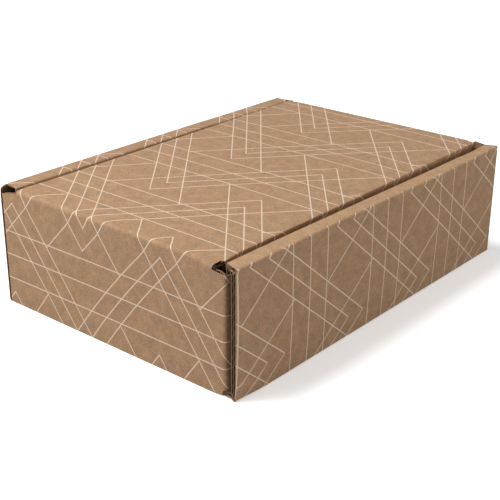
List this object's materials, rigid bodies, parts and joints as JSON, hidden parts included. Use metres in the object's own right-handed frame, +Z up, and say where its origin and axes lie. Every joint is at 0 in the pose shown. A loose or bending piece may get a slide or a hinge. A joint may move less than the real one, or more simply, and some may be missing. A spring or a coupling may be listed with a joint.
{
  "type": "corrugated mailer box",
  "caption": "Closed roll-end tuck-front mailer box folded from one sheet of corrugated board, with a hinged lid for shipping small goods.",
  "frame": {"origin": "middle of the base, on the surface that the box stands on", "axes": "+X along the lid's crease, +Y from the back wall with the crease to the front wall with the tuck flap, +Z up"},
  "size_m": [0.246, 0.348, 0.1],
  "materials": {
    "board": "uncoated kraft with thin pale printed lines"
  },
  "bodies": {
    "tray": {"tray": "board"},
    "lid": {"lid": "board"}
  },
  "joints": [
    {"name": "lid_hinge", "type": "hinge", "parent": "tray", "child": "lid", "pos_m": [0, -0.17195, 0.09695], "axis": [1, 0, 0], "range_deg": [0, 180]}
  ]
}
